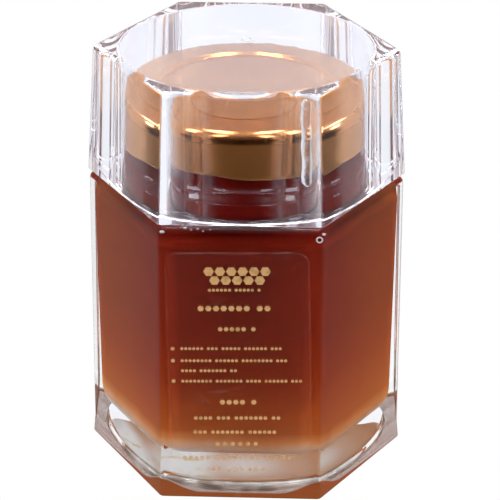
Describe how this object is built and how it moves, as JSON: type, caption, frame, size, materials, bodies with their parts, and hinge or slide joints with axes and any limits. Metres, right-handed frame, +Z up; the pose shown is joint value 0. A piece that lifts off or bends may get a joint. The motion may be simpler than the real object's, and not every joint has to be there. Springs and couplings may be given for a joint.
{
  "type": "honey jar",
  "caption": "Hexagonal clear glass jar of dark amber honey with a round gold screw lid, a clear hexagonal cap over the lid and a clear film label with plain gold marks on the front.",
  "frame": {"origin": "centre of the foot, on the surface the jar stands on", "axes": "+Z up the jar's axis, -Y out of the labelled front face, +X to the right of that face, through a corner of the hexagon"},
  "size_m": [0.0716, 0.0629, 0.0979],
  "materials": {
    "jar_glass": "clear polished glass",
    "honey": "dark amber honey, slightly cloudy, paler at the foot",
    "lid": "satin gold lacquer on pressed metal",
    "overcap": "clear moulded plastic with a faint lilac cast",
    "label": "clear film with gold print"
  },
  "bodies": {
    "root": {"jar_glass": "jar_glass", "honey": "honey", "lid": "lid", "overcap": "overcap", "label": "label"}
  },
  "joints": []
}
